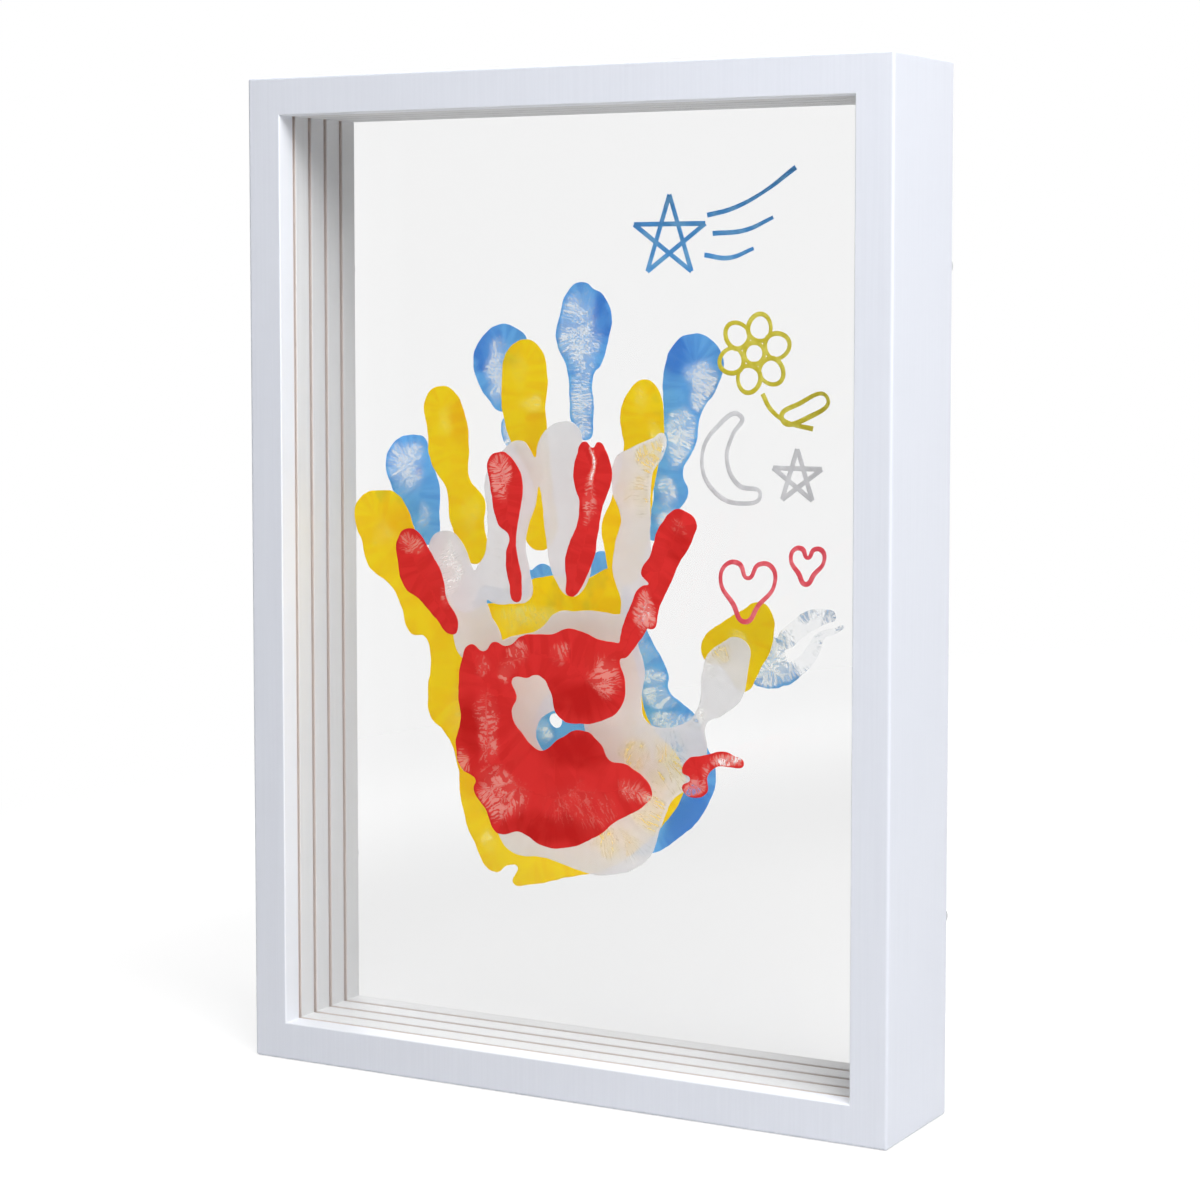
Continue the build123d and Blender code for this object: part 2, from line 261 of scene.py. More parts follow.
veil = between(tree, far_off, THROUGH_SHEETS, 1.0)
glow = sum_up(tree, "MULTIPLY", glow, between(tree, through, 1.0, veil))
plug_in(tree, shader, {
    "Base Color": mix(tree, sight(tree)[0], bouncing, shown),
    "Roughness": 0.9,
    "Specular IOR Level": 0.0,
    "Emission Color": grey(1.0),
    "Emission Strength": glow,
})
floor.data.materials.append(ground)
print("floor", tuple(floor.dimensions))

# %% [markdown]
# Three square soft lamps light the object: the strong key lamp to the right, a weaker one above, and one
# behind, so that the back isn't dark when it is seen from there. A ray through all four sheets crosses
# eight surfaces, and may be mirrored between them, so the limits on bounces are raised.

# %% Lamps
LAMPS = {
    "key_lamp": ((0.80, -0.62, 1.08), 0.8, 20.0),
    "top_lamp": ((0.10, -0.25, 1.30), 1.0, 8.0),
    "back_lamp": ((-0.75, 0.95, 0.95), 1.0, 6.0),
}
MIDDLE = Vector((0, 0, 0.17))
BOUNCES = 24
CLEAR_BOUNCES = 48

for name, (spot, size, watts) in LAMPS.items():
    bpy.ops.object.light_add(type="AREA", location=spot)
    lamp = bpy.context.object
    lamp.name = name
    lamp.data.size = size
    lamp.data.energy = watts
    lamp.rotation_euler = (MIDDLE - Vector(spot)).to_track_quat("-Z", "Y").to_euler()
    print(name, "at", spot, "with", watts, "W")

bpy.context.scene.view_settings.view_transform = "Standard"
bpy.context.scene.cycles.max_bounces = BOUNCES
bpy.context.scene.cycles.transmission_bounces = BOUNCES
bpy.context.scene.cycles.transparent_max_bounces = CLEAR_BOUNCES

# %% [markdown]
# ## The white moulding
#
# The moulding is wood under a sprayed satin paint, white with a touch of blue. In raking light it shows
# very fine upright lines, left by the sander. A pattern is drawn out along Z to get such lines: it
# changes quickly across the frame and slowly along it. The gun reaches the outside and the edge of the
# window. That inner edge is given a lighter tint: painted light, for the light that reaches it through
# the opening. Inside the rabbet, where the sheets stand, the wood stays bare, and so do the strips where
# they touch the sheets. Through the slots that shows as thin brown lines, and the brown is kept dark as
# painted shade for the shade in the slots. The places are told apart by their distance inside the
# frame's outline, so one recipe does for all four lengths.

# %% Sprayed paint
SANDING = (1400, 1400, 22)
SPREAD = 0.05
CLOUD_SHARE = (0.2, 0.8, 0.0, 0.35)
PEEL_SHARE = 0.5


def sprayed_paint(name, light, dark, roughness):
    """White paint with fine upright sanding lines under it, and its tint before the painted light and the
    bare wood are mixed in.
    """
    material, tree, shader, place = new_material(name)
    lines = soft_noise(tree, stretched(tree, place, SANDING), scale=1.0, detail=3.0)
    clouds = soft_noise(tree, place, scale=18.0, detail=3.0)
    orange_peel = soft_noise(tree, place, scale=900.0, detail=2.0)
    tint = mix(tree, ramp(tree, lines, NOISE_LOW, NOISE_HIGH), dark, light)
    tint = mix(tree, ramp(tree, clouds, *CLOUD_SHARE), tint, light)
    height = sum_up(tree, "ADD", lines, sum_up(tree, "MULTIPLY", orange_peel, PEEL_SHARE))
    plug_in(tree, shader, {
        "Roughness": ramp(tree, clouds, NOISE_LOW, NOISE_HIGH, roughness - SPREAD, roughness + SPREAD),
        "Normal": relief(tree, height, strength=0.35, distance=4e-5),
    })
    return material, tree, place, tint


def give_tint(tree, tint):
    """Makes a tint the colour of a material's shader."""
    plug_in(tree, tree.nodes["Principled BSDF"], {"Base Color": tint})


# %% Satin white paint
LIP_EDGE = 0.0130
RABBET_WALL = 0.0070
LIP_BACK = -0.0160
HALF_WIDTH = 0.120
HALF_HEIGHT = 0.170
# Where the painted light on the inner edge of the window starts and where it is full, by depth inside the
# outline.
LIT_EDGE_FROM = 0.0006
LIT_EDGE_FULL = 0.0001
MARGIN = 0.0003
SATIN = 0.42
SATIN_LIGHT = (0.715, 0.74, 0.81, 1)
SATIN_DARK = (0.695, 0.72, 0.79, 1)
# Painted light: a lighter tint for the inner edge of the window, for the light that reaches it.
LIP_PAINTED_LIGHT = (0.80, 0.82, 0.87, 1)
# Bare wood brown, kept dark as painted shade for the slots between the sheets.
BARE_WOOD_AND_SLOT_SHADE = (0.70, 0.61, 0.57, 1)


def inside_outline(tree, place):
    """How far a point lies inside the frame's outline, and its place from front to back."""
    parts = split(tree, place)
    across = sum_up(tree, "SUBTRACT", HALF_WIDTH, sum_up(tree, "ABSOLUTE", parts["X"]))
    from_middle = sum_up(tree, "ABSOLUTE", sum_up(tree, "SUBTRACT", parts["Z"], HALF_HEIGHT))
    upward = sum_up(tree, "SUBTRACT", HALF_HEIGHT, from_middle)
    return sum_up(tree, "MINIMUM", across, upward), parts["Y"]


moulding_paint, tree, place, tint = sprayed_paint("satin_white_paint", SATIN_LIGHT, SATIN_DARK, SATIN)
inset, from_front = inside_outline(tree, place)
# Painted light: the inner edge of the window is tinted lighter than the outside of the moulding.
tint = mix(tree, ramp(tree, inset, LIP_EDGE - LIT_EDGE_FROM, LIP_EDGE - LIT_EDGE_FULL), tint, LIP_PAINTED_LIGHT)
in_rabbet = sum_up(tree, "GREATER_THAN", inset, RABBET_WALL - MARGIN)
behind_lip = sum_up(tree, "GREATER_THAN", from_front, LIP_BACK - MARGIN)
# Bare wood in the rabbet, its brown also a painted shade that darkens the slots.
give_tint(tree, mix(tree, sum_up(tree, "MULTIPLY", in_rabbet, behind_lip), tint, BARE_WOOD_AND_SLOT_SHADE))
dress(moulding_paint, "top_rail", "bottom_rail", "left_stile", "right_stile")

# %% [markdown]
# The strips between the sheets are plainer: matt white, with the same sanding lines. Their bare faces are
# those that look to the front or the back, apart from the last ring's back, which is painted because it
# shows. Their brown is the same painted shade that darkens the slots.

# %% Matt white strips
PAINTED_BACK = 0.0225
FACING_OUT = (0.6, 0.9)
MATT = 0.60
MATT_LIGHT = (0.75, 0.755, 0.765, 1)
MATT_DARK = (0.71, 0.715, 0.725, 1)

strip_paint, tree, place, tint = sprayed_paint("matt_white_strip", MATT_LIGHT, MATT_DARK, MATT)
facing = split(tree, add(tree, "NewGeometry").outputs["True Normal"])["Y"]
facing = ramp(tree, sum_up(tree, "ABSOLUTE", facing), *FACING_OUT)
between_sheets = sum_up(tree, "LESS_THAN", split(tree, place)["Y"], PAINTED_BACK)
# Bare wood on the faces against the sheets, its brown also a painted shade in the slots.
give_tint(tree, mix(tree, sum_up(tree, "MULTIPLY", facing, between_sheets), tint, BARE_WOOD_AND_SLOT_SHADE))
strips = [name for name in nodes if name.startswith(("spacer_", "back_ring_"))]
dress(strip_paint, *strips)

# %% [markdown]
# ## The clear sheets
#
# Each sheet is 2 mm of clear acrylic. The real one bends light with an index of 1.49 and mirrors a little
# of it at each surface. With that index the mirrored light of eight surfaces lay over the prints as a
# veil that the picture doesn't show, so a lower one is set. Light from a lamp reaches what stands behind
# a sheet only through it, and a path tracer hardly ever finds that bent way by chance. So for light on
# its way to a wall or a print the sheet is a plain tinted window, which costs a little at each surface.
# That is why the white strips grow darker from sheet to sheet, as in the photograph.

# %% Clear acrylic
SHADOW_PASS = 0.97
LOWERED_INDEX = 1.22

acrylic, tree, shader, place = new_material("clear_acrylic")
plug_in(tree, shader, {
    "Normal": relief(tree, soft_noise(tree, place, scale=30.0, detail=2.0), strength=0.02, distance=1e-4),
    "Roughness": 0.0,
    "Base Color": grey(0.99),
    "Transmission Weight": 1.0,
    "IOR": LOWERED_INDEX,
})
window = add(tree, "BsdfTransparent", {"Color": grey(SHADOW_PASS)}).outputs[0]
path = add(tree, "LightPath").outputs
sheet = add(tree, "MixShader", {0: path["Is Shadow Ray"], 1: shader.outputs[0], 2: window}).outputs[0]
sheet = add(tree, "MixShader", {0: path["Is Diffuse Ray"], 1: sheet, 2: window}).outputs[0]
plug_in(tree, tree.nodes["Material Output"], {"Surface": sheet})
dress(acrylic, "pane_1", "pane_2", "pane_3", "pane_4")

# %% [markdown]
# ## Plated steel
#
# The turn buttons, screws, nails and the hanger on the back are thin zinc-plated steel: a cool grey
# metal, a little cloudy, with fine scratches from the tumbler. Scratches come from noise drawn out in one
# direction.

# %% Zinc plate
SCRATCHED = (900, 900, 6000)
ZINC_SHINE = (0.24, 0.46)
ZINC_DARK = (0.52, 0.54, 0.57, 1)
ZINC_LIGHT = (0.68, 0.70, 0.72, 1)

zinc, tree, shader, place = new_material("zinc_plate")
clouds = soft_noise(tree, place, scale=260.0, detail=4.0)
scratches = soft_noise(tree, stretched(tree, place, SCRATCHED), scale=1.0, detail=2.0)
wear = sum_up(tree, "MULTIPLY", sum_up(tree, "ADD", clouds, scratches), 0.5)
plug_in(tree, shader, {
    "Base Color": mix(tree, ramp(tree, clouds, NOISE_LOW, NOISE_HIGH), ZINC_DARK, ZINC_LIGHT),
    "Metallic": 1.0,
    "Roughness": ramp(tree, wear, NOISE_LOW, NOISE_HIGH, *ZINC_SHINE),
    "Normal": relief(tree, scratches, strength=0.4, distance=2e-5),
})
hardware = [name for name in nodes if name.startswith("turn_button")]
dress(zinc, *hardware, "corner_v_nails", "sawtooth_hanger", "hanger_nails")

# %% [markdown]
# ## Films of dried paint
#
# A print is paint that a hand pressed flat. Each mark in it, a finger, the palm or a smear, is drawn here
# as a closed curve through a few points measured on the picture: X and Z in millimetres, with any holes
# after the edge. A flat cut-out of that curve would look like plastic. So the marks are filled curves a
# few millimetres deep, joined, remeshed into small even faces, moved in and out by noise so that the
# outline wavers, smoothed, and then pressed to a thin film. That gives a film with a soft, wandering edge
# and no step where two marks run together.

# %% Outlines of the prints
RED_MARKS = (
    [[(-61, 187), (-65, 183), (-65, 176), (-62, 167), (-56, 163), (-50, 157), (-43, 152), (-41, 155),
      (-45, 163), (-47, 171), (-52, 180), (-57, 186)]],
    [[(-24, 214), (-29, 211), (-28, 203), (-25, 190), (-21, 186), (-22, 180), (-21, 171), (-18, 164),
      (-16, 171), (-18, 181), (-18, 188), (-16, 199), (-17, 208), (-21, 213)]],
    [[(8, 218), (5, 214), (4, 206), (6, 198), (5, 191), (1, 181), (1, 173), (2, 167), (7, 171), (12, 183),
      (14, 195), (18, 207), (16, 215), (13, 218), (11, 216)]],
    [[(42, 197), (36, 192), (32, 181), (29, 176), (32, 172), (30, 165), (32, 158), (36, 166), (42, 178),
      (48, 188), (49, 193), (46, 196)]],
    [[(31, 172), (24, 163), (21, 153), (21, 148), (27, 152), (32, 160), (35, 168)]],
    [[(-36, 149), (-31, 147), (-27, 150), (-22, 149), (-16, 153), (-5, 154), (2, 156), (14, 153),
      (22, 151), (21, 147), (23, 140), (22, 133), (17, 128), (6, 125), (-2, 127), (-5, 135), (-9, 140),
      (-14, 139), (-20, 138), (-18, 132), (-20, 127), (-14, 118), (-8, 115), (-1, 120), (7, 123),
      (14, 119), (17, 114), (25, 112), (33, 104), (30, 100), (19, 93), (12, 88), (0, 83), (-8, 83),
      (-17, 87), (-26, 86), (-30, 93), (-35, 100), (-34, 103), (-40, 107), (-42, 114), (-40, 124),
      (-41, 132), (-40, 142)]],
    [[(58, 120), (52, 118), (46, 116), (44, 112), (47, 110), (44, 107), (48, 104), (53, 106), (53, 111),
      (56, 114), (61, 115), (66, 116), (62, 119)]],
)
WHITE_MARKS = (
    [[(-51, 186), (-58, 182), (-56, 171), (-50, 157), (-46, 144), (-38, 141), (-30, 147), (-34, 159),
      (-41, 174), (-47, 184)]],
    [[(-22, 217), (-30, 213), (-36, 204), (-35, 192), (-36, 179), (-40, 171), (-36, 164), (-27, 162),
      (-18, 165), (-19, 174), (-20, 185), (-16, 197), (-16, 207), (-19, 215)]],
    [[(-6, 224), (-13, 220), (-16, 212), (-14, 200), (-12, 184), (-10, 174), (-3, 166), (3, 170),
      (5, 182), (5, 200), (2, 216), (-1, 223)]],
    [[(20, 216), (14, 212), (13, 202), (16, 194), (14, 183), (13, 175), (16, 167), (18, 158), (24, 160),
      (27, 175), (27, 195), (28, 208), (32, 214), (32, 221), (28, 219)]],
    [[(-15, 154), (-8, 160), (0, 161), (12, 161), (20, 159), (23, 150), (25, 143), (24, 132), (26, 126),
      (39, 126), (45, 132), (46, 142), (49, 150), (54, 154), (58, 156), (63, 153), (63, 146), (60, 135),
      (54, 130), (48, 127), (48, 117), (40, 104), (35, 100), (31, 91), (27, 81), (20, 76), (8, 73),
      (-12, 77), (-26, 78), (-33, 87), (-40, 103), (-41, 120), (-39, 142), (-28, 150)],
     [(-10, 127), (-16, 121), (-14, 114), (-4, 112), (2, 117), (1, 125)]],
)
YELLOW_MARKS = (
    [[(-84, 198), (-93, 195), (-95, 189), (-92, 180), (-89, 171), (-80, 165), (-76, 158), (-72, 149),
      (-66, 148), (-64, 142), (-65, 129), (-64, 120), (-58, 115), (-53, 104), (-52, 94), (-47, 79),
      (-38, 68), (-33, 71), (-29, 71), (-31, 65), (-24, 65), (-10, 69), (7, 74), (25, 88), (35, 103),
      (34, 111), (21, 125), (18, 138), (12, 158), (8, 174), (-2, 171), (-18, 171), (-24, 169), (-24, 165),
      (-42, 160), (-50, 157), (-58, 163), (-70, 184), (-77, 197)],
     [(-14, 132), (-22, 123), (-20, 111), (-12, 108), (-3, 114), (-2, 125), (-8, 131)]],
    [[(-59, 235), (-65, 231), (-65, 219), (-63, 208), (-57, 199), (-56, 189), (-51, 179), (-46, 174),
      (-41, 180), (-42, 188), (-42, 196), (-48, 203), (-48, 213), (-50, 225), (-54, 233)]],
    [[(-26, 251), (-33, 247), (-35, 237), (-33, 220), (-26, 208), (-22, 198), (-26, 187), (-24, 181),
      (-19, 180), (-14, 185), (-15, 200), (-17, 218), (-18, 228), (-17, 238), (-20, 248)]],
    [[(20, 238), (14, 234), (11, 227), (12, 215), (8, 199), (4, 190), (5, 181), (9, 171), (15, 170),
      (20, 180), (23, 200), (27, 226), (24, 236)]],
    [[(63, 166), (55, 163), (49, 159), (42, 153), (42, 147), (49, 144), (54, 138), (57, 137), (62, 143),
      (67, 155), (67, 162)]],
)
BLUE_MARKS = (
    [[(-75, 217), (-84, 215), (-88, 208), (-85, 198), (-77, 186), (-72, 179), (-67, 182), (-66, 192),
      (-66, 198), (-67, 203), (-70, 210), (-72, 216)]],
    [[(-41, 256), (-48, 252), (-52, 246), (-51, 238), (-46, 230), (-41, 226), (-35, 230), (-30, 240),
      (-31, 251), (-36, 255)]],
    [[(-39, 224), (-41, 220), (-38, 213), (-35, 211), (-36, 218)]],
    [[(-8, 270), (-14, 268), (-18, 259), (-19, 250), (-15, 242), (-14, 229), (-13, 223), (-7, 217),
      (-5, 225), (-4, 240), (-2, 242), (1, 252), (2, 259), (-1, 266), (-5, 268)]],
    [[(33, 253), (26, 250), (22, 240), (22, 228), (21, 222), (23, 217), (18, 209), (18, 198), (16, 188),
      (18, 184), (24, 191), (31, 200), (29, 207), (34, 216), (36, 227), (42, 236), (44, 245), (40, 251)]],
    [[(85, 162), (79, 164), (70, 160), (64, 153), (66, 150), (75, 156), (80, 159)]],
    [[(88, 159), (85, 158), (79, 156), (73, 149), (65, 142), (65, 139), (74, 143), (79, 150), (81, 155),
      (86, 157)]],
    [[(62, 154), (58, 148), (55, 139), (60, 137), (67, 139), (68, 145), (65, 152)]],
    [[(-49, 165), (-41, 165), (-35, 165), (-25, 174), (-18, 172), (-6, 178), (1, 179), (9, 166),
      (18, 150), (24, 139), (24, 134), (29, 130), (34, 126), (38, 117), (42, 107), (38, 95), (29, 85),
      (17, 78), (-8, 79), (-30, 82), (-45, 94), (-51, 112), (-51, 140)],
     [(-20, 123), (-22, 121), (-19, 118), (-17, 121)]],
    [[(-31, 171), (-30, 172), (-29, 171), (-30, 170)]],
)
MARKS = {"red": RED_MARKS, "white": WHITE_MARKS, "yellow": YELLOW_MARKS, "blue": BLUE_MARKS}
print("marks:", {colour: len(marks) for colour, marks in MARKS.items()})

# %% Drawing the marks
MM = 0.001
BODY = 4.2 * MM


def use_only(*pieces):
    """Selects these pieces alone and makes the first one active."""
    bpy.ops.object.select_all(action="DESELECT")
    for piece in pieces:
        piece.select_set(True)
    bpy.context.view_layer.objects.active = pieces[0]


def smooth_line(curve, points, closed):
    """Adds a smooth line through points in millimetres to a curve, and returns its Bezier points."""
    line = curve.splines.new("BEZIER")
    line.bezier_points.add(len(points) - 1)
    line.use_cyclic_u = closed
    for knot, (x, z) in zip(line.bezier_points, points):
        knot.co = (x * MM, z * MM, 0)
        knot.handle_left_type = "AUTO"
        knot.handle_right_type = "AUTO"
    return line.bezier_points


def stand_up(piece, depth):
    """Makes a flat curve a mesh, stands it upright and puts it at its depth in the frame."""
    bpy.ops.object.convert(target="MESH")
    piece.rotation_euler = (math.radians(90), 0, 0)
    piece.location = (0, depth, 0)
    bpy.ops.object.transform_apply(location=True, rotation=True, scale=True)


def draw_mark(loops, back):
    """Makes a deep slab, standing upright, from one mark's edge and holes."""
    bpy.ops.object.select_all(action="DESELECT")
    bpy.ops.curve.primitive_bezier_circle_add()
    mark = bpy.context.object
    mark.data.splines.clear()
    mark.data.dimensions = "2D"
    mark.data.fill_mode = "BOTH"
    mark.data.extrude = BODY / 2
    for loop in loops:
        smooth_line(mark.data, loop, closed=True)
    stand_up(mark, back - BODY / 2)
    return mark


# %% Tools for the films
SOFT_ANGLE = math.radians(30)


def press_flat(piece, factor, fixed):
    """Scales a piece front to back from a fixed plane, in edit mode."""
    use_only(piece)
    bpy.ops.object.mode_set(mode="EDIT")
    bpy.ops.mesh.select_all(action="SELECT")
    bpy.ops.transform.resize(value=(1, factor, 1), center_override=(0, fixed, 0))
    bpy.ops.object.mode_set(mode="OBJECT")
    bpy.ops.object.shade_smooth_by_angle(angle=SOFT_ANGLE)


def apply_modifier(piece, kind, **settings):
    """Adds a modifier with its settings and applies it."""
    use_only(piece)
    modifier = piece.modifiers.new(kind.lower(), kind)
    for name, value in settings.items():
        setattr(modifier, name, value)
    bpy.ops.object.modifier_apply(modifier=modifier.name)


def waver(piece, size, strength):
    """Moves a piece's surface in and out by soft noise."""
    texture = bpy.data.textures.new("waver", "CLOUDS")
    texture.noise_scale = size
    texture.noise_depth = 1
    apply_modifier(piece, "DISPLACE", texture=texture, strength=strength, texture_coords="LOCAL")


# %% Grow the films
FILM = 0.15 * MM
FINE = 0.6 * MM
BROAD_WAVER = (9 * MM, 1.0 * MM)
SMALL_WAVER = (3 * MM, 0.5 * MM)
SIDEWAYS = 0.5
GAP_TO_SHEET = 0.02 * MM


def grow_film(colour):
    """Turns the marks of one print into a thin film, and keeps the wall round its outline."""
    node = "handprint_" + colour
    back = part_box(node)[1].y
    marks = [draw_mark(loops, back) for loops in MARKS[colour]]
    use_only(*marks)
    bpy.ops.object.join()
    film = bpy.context.object
    film.name = "film_" + colour
    film.data.remesh_voxel_size = FINE
    bpy.ops.object.voxel_remesh()
    waver(film, *BROAD_WAVER)
    waver(film, *SMALL_WAVER)
    apply_modifier(film, "SMOOTH", factor=0.5, iterations=4)
    sides = [tuple(face.vertices) for face in film.data.polygons if abs(face.normal.y) < SIDEWAYS]
    rim = BVHTree.FromPolygons([point.co.copy() for point in film.data.vertices], sides)
    press_flat(film, FILM / BODY, back - GAP_TO_SHEET)
    film.data.materials.clear()
    film.visible_shadow = False
    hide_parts(node)
    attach(film, "frame")
    print(film.name, len(film.data.polygons), "faces,", len(sides), "of them in its rim")
    return film, rim


films = {colour: grow_film(colour) for colour in MARKS}

# %% [markdown]
# ## Where the paint is thin or thick
#
# When the hand leaves, air runs in from the edge and draws the wet paint into fine branching lines, like
# ferns. Noise alone would put them anywhere, so each print has a list of patches where the hand lifted
# last: the middle of a fingertip, the ball of the thumb, the hollow of the palm. Each row is X, Z, half
# width and half height in millimetres, and how far the paint was pulled; above 1 it has nearly gone. A
# second, shorter list says where the paint lies thickest.

# %% Patches on each print
PULLED = {
    "blue": (
        (-11, 253, 8, 13, 1.0), (-9, 230, 5, 13, 0.9), (-42, 240, 5, 10, 0.9), (-38, 217, 5, 9, 1.2),
        (37, 236, 6, 9, 1.0), (28, 219, 6, 9, 1.1), (23, 200, 4, 6, 0.8), (-80, 206, 8, 9, 0.9),
        (-72, 189, 4, 6, 0.5),
        (78, 153, 15, 14, 2.1), (62, 146, 9, 11, 1.3), (19, 137, 5, 4, 0.9), (20, 130, 7, 3, 1.0),
        (26, 124, 8, 3, 0.9), (15, 147, 5, 6, 0.5), (-25, 117, 4, 5, 0.6), (25, 190, 5, 5, 0.9),
    ),
    "yellow": (
        (-23, 229, 5, 4, 0.6), (23, 221, 3, 5, 0.6), (-40, 79, 4, 4, 0.6), (-24, 157, 14, 5, 0.9),
        (18, 231, 4, 5, 0.5),
        (-57, 223, 4, 6, 0.4), (-83, 184, 5, 6, 0.5), (55, 153, 4, 4, 0.7), (-52, 120, 6, 12, 0.4),
        (-48, 190, 4, 8, 0.4), (-28, 240, 4, 6, 0.4),
    ),
    "white": (
        (22, 114, 7, 8, 0.55), (35, 110, 9, 13, 0.65), (28, 95, 12, 9, 0.65), (13, 85, 16, 7, 0.55),
        (53, 152, 5, 5, 0.75), (49, 144, 3, 4, 0.5), (23, 200, 6, 8, 0.6), (-50, 174, 5, 10, 0.7),
        (-31, 176, 5, 13, 0.3), (29, 213, 7, 8, 0.9), (42, 130, 7, 5, 0.7), (30, 134, 5, 8, 0.6),
    ),
    "red": (
        (-29, 121, 4, 12, 0.65), (-25, 99, 9, 9, 0.85), (-32, 142, 4, 4, 0.6), (-17, 147, 4, 4, 0.7),
        (-21, 141, 4, 4, 0.7), (-1, 148, 4, 4, 0.6), (15, 141, 6, 7, 0.9), (27, 104, 5, 4, 0.7),
        (6, 97, 16, 8, 0.35), (-24, 206, 4, 8, 1.0), (11, 211, 1, 8, 1.6), (10, 201, 2, 7, 0.7),
        (8, 195, 2, 5, 0.8), (-60, 182, 5, 4, 0.8), (-47, 164, 3, 4, 0.6), (61, 117, 7, 3, 1.5),
        (30, 162, 3, 8, 1.15), (44, 191, 4, 4, 0.4), (-40, 106, 4, 6, 1.35), (32, 102, 3, 3, 1.3),
        (47, 107, 4, 3, 1.4), (52, 111, 2, 4, 1.1), (-34, 92, 4, 6, 1.1),
    ),
}
THICK = {
    "blue": (
        (-1, 258, 4, 8, 1.0), (27, 245, 6, 8, 0.9), (-47, 247, 6, 8, 1.0), (-75, 203, 2, 2, 1.0),
        (32, 90, 12, 16, 1.0),
    ),
    "yellow": (
        (-46, 115, 8, 22, 0.9), (-75, 186, 9, 8, 0.6), (-50, 228, 5, 12, 0.5), (-22, 215, 5, 14, 0.4),
    ),
    "white": ((-5, 205, 6, 14, 0.6), (-20, 200, 5, 12, 0.5)),
    "red": (
        (4, 133, 13, 6, 0.9), (4, 116, 13, 6, 0.9), (-36, 123, 5, 9, 0.8), (-4, 89, 17, 5, 0.9),
        (44, 184, 4, 8, 0.5),
    ),
}
print("patches:", {colour: len(PULLED[colour]) + len(THICK[colour]) for colour in MARKS})

# %% [markdown]
# Every point of a film remembers these two numbers for its material, and also how deep it lies inside the
# outline, the outline's nearest point, and whether the print on the next sheet is behind it. The last
# print has none behind it and is given itself. The patches are looked up at places that noise has moved,
# so that they get an uneven edge. The noise is given a seed, because it would otherwise start from the
# time of day.

# %% Find what lies at each point
WANDER = 3.0 * MM
WANDER_SIZE = 7.0 * MM
WANDER_SEED = 3
PATCH_END = 1.5
PATCH_FADE = 1.1

noise.seed_set(WANDER_SEED)


def patch_strength(x, z, patches):
    """How strong a list of patches is at points in millimetres: full inside a patch, fading at its edge."""
    strongest = np.zeros_like(x)
    for middle_x, middle_z, wide, high, amount in patches:
        reach = np.hypot((x - middle_x) / wide, (z - middle_z) / high)
        fade = np.clip((PATCH_END - reach) / PATCH_FADE, 0.0, 1.0)
        strongest = np.maximum(strongest, amount * fade * fade * (3 - 2 * fade))
    return strongest


def wandered(places):
    """X and Z, in millimetres, of points that noise has moved a little."""
    moved = [place + WANDER * noise.noise_vector(place / WANDER_SIZE) for place in places]
    return np.array([(place.x, place.z) for place in moved]).T / MM


def tree_of(film):
    """A search tree of a film's points, on the plane of its sheet."""
    tree = KDTree(len(film.data.vertices))
    for index, point in enumerate(film.data.vertices):
        tree.insert((point.co.x, 0, point.co.z), index)
    tree.balance()
    return tree


# %% Store it on the films
NEXT_PRINT = {"red": "white", "white": "yellow", "yellow": "blue", "blue": "blue"}


def store(film, name, kind, field, values):
    """Keeps one value for each point of a film, under a name that its material can read."""
    kept = film.data.attributes.new(name, kind, "POINT")
    kept.data.foreach_set(field, np.array(values, dtype=np.float32).ravel())


def remember(colour):
    """Stores on each point of a film what its material needs."""
    film, rim = films[colour]
    behind = tree_of(films[NEXT_PRINT[colour]][0])
    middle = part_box("handprint_" + colour)[1].y - BODY / 2
    places = [Vector((point.co.x, middle, point.co.z)) for point in film.data.vertices]
    nearest = [rim.find_nearest(place) for place in places]
    x, z = wandered(places)
    store(film, "pull", "FLOAT", "value", patch_strength(x, z, PULLED[colour]))
    store(film, "thick", "FLOAT", "value", patch_strength(x, z, THICK[colour]))
    store(film, "rim_depth", "FLOAT", "value", [found[3] for found in nearest])
    covered = [behind.find((place.x, 0, place.z))[2] < 2 * FINE for place in places]
    store(film, "behind", "FLOAT", "value", covered)
    store(film, "rim_place", "FLOAT_VECTOR", "vector", [found[0] for found in nearest])
    print(film.name, "is thin in", len(PULLED[colour]), "patches and thick in", len(THICK[colour]))


for colour in films:
    remember(colour)

# %% [markdown]
# ## Poster paint
#
# Thick poster paint covers what is behind it, and pulled paint lets it through. The fern lines are noise
# read at the nearest point of the outline, so they stand square to it. Further in, part of them turns
# into a maze that has no direction. Inside a patch the paint turns pale all over, and palest along the
# lines, so a patch has no hard edge. Where another print is behind it, paint is mottled with the colour
# that the two make together: yellow over blue gives olive.

# %% Lines in the paint
BEND = 1.1 * MM
BEND_SCALE = 300.0
INWARD_CHANGE = 0.12
MAZE_FROM = 2 * MM
MAZE_FULL = 6 * MM
MAZE_FINENESS = 0.8
STREAK_SCALE = 320.0


def vector_step(tree, operation, first, second):
    """One step of arithmetic on two vectors."""
    return add(tree, "VectorMath", {0: first, 1: second}, operation=operation).outputs[0]


